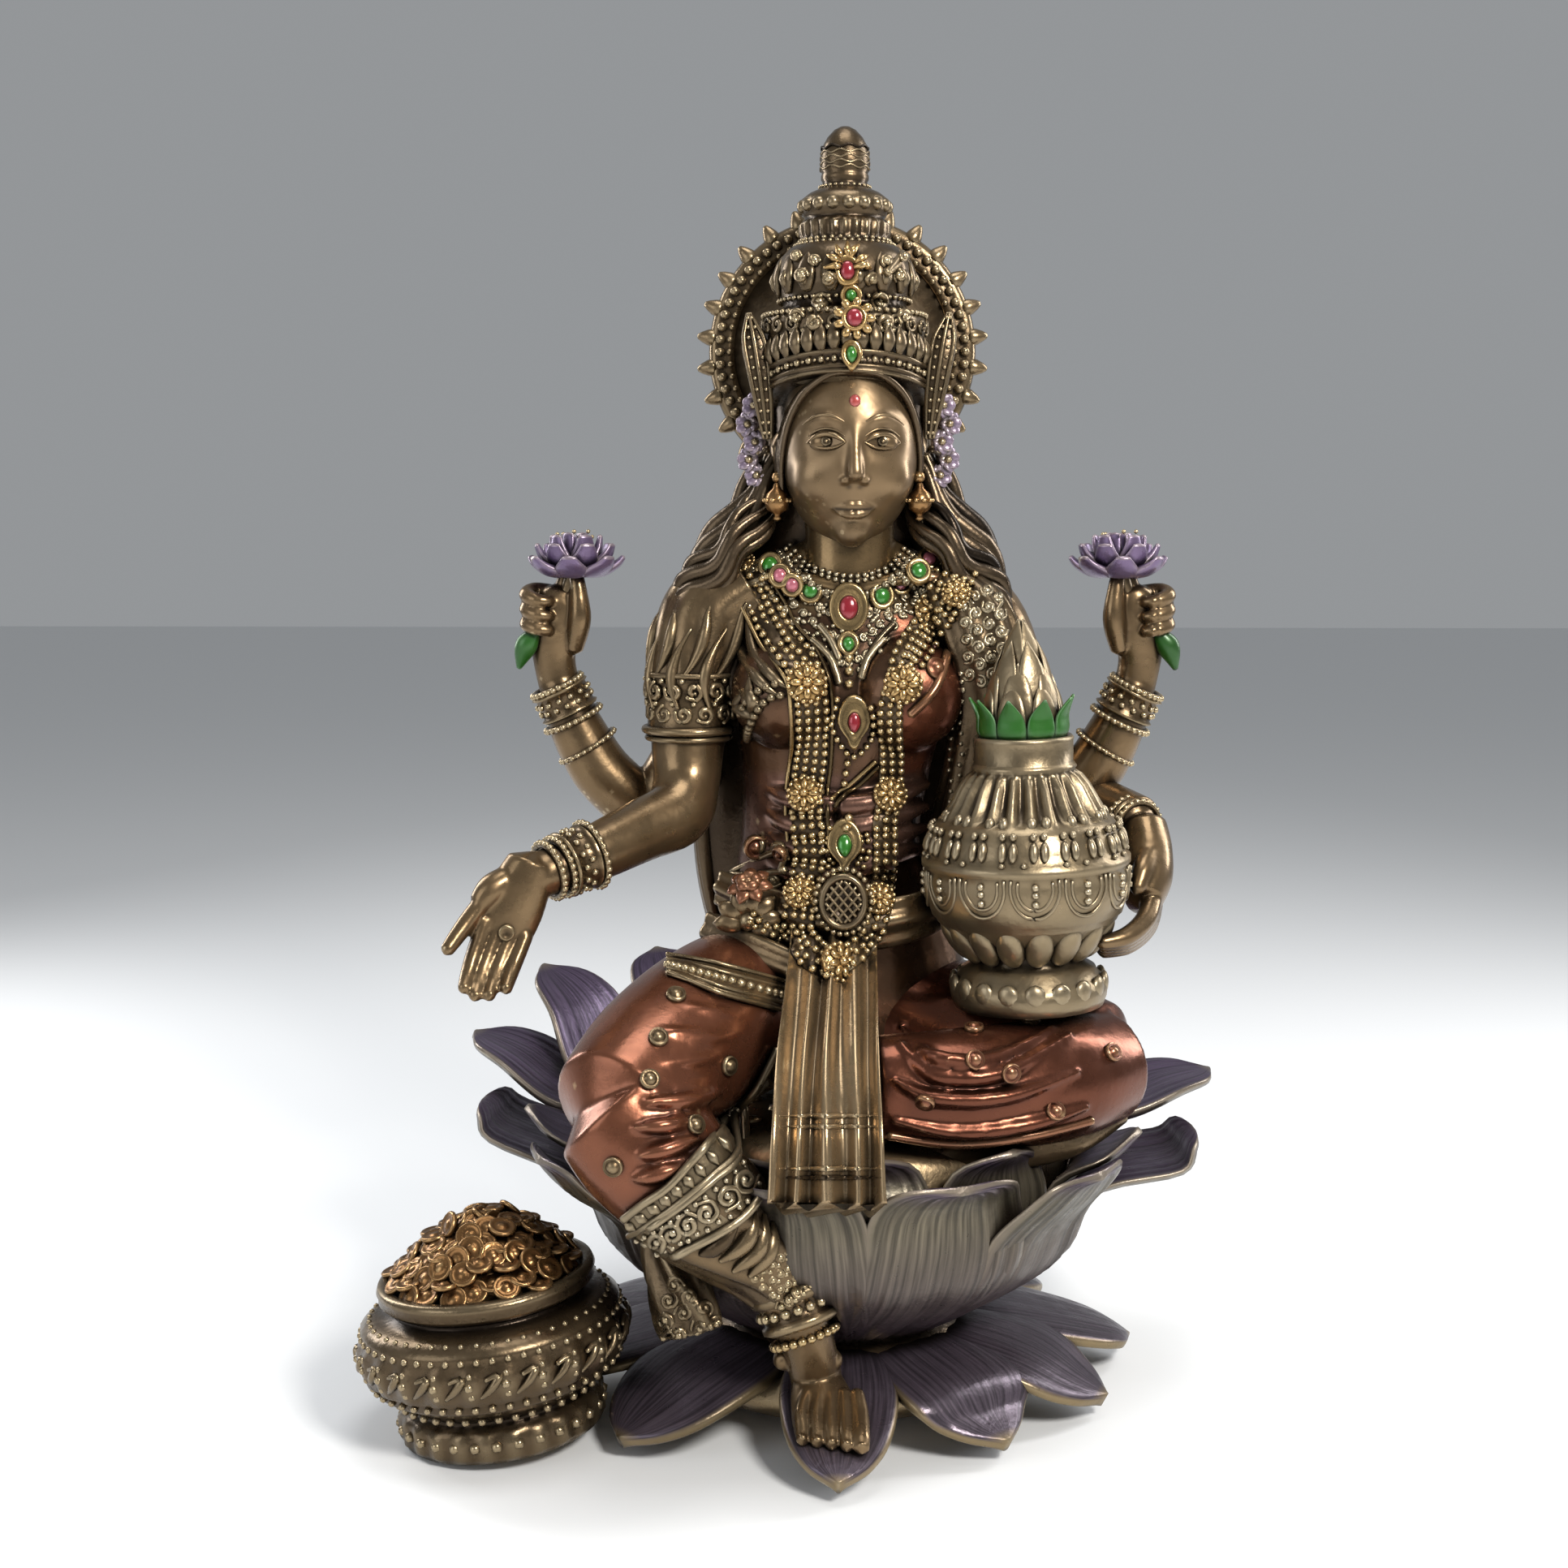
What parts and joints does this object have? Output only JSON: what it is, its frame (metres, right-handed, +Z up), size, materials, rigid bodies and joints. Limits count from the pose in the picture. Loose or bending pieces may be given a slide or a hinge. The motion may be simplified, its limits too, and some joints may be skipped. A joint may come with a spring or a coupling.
{
  "type": "seated goddess figure",
  "caption": "Four-armed goddess seated on a lotus with a vase on her thigh and a bowl of coins beside the plinth, cast in one piece.",
  "frame": {"origin": "middle of the flat underside of the lotus plinth", "axes": "+Z up, the figure faces -Y, and the bowl of coins stands towards -X"},
  "size_m": [0.161, 0.1326, 0.234],
  "materials": {
    "bronze": "polished bronze resin with a dark wash in the recesses and painted accents"
  },
  "bodies": {
    "root": {"lakshmi_figure": "bronze"}
  },
  "joints": []
}
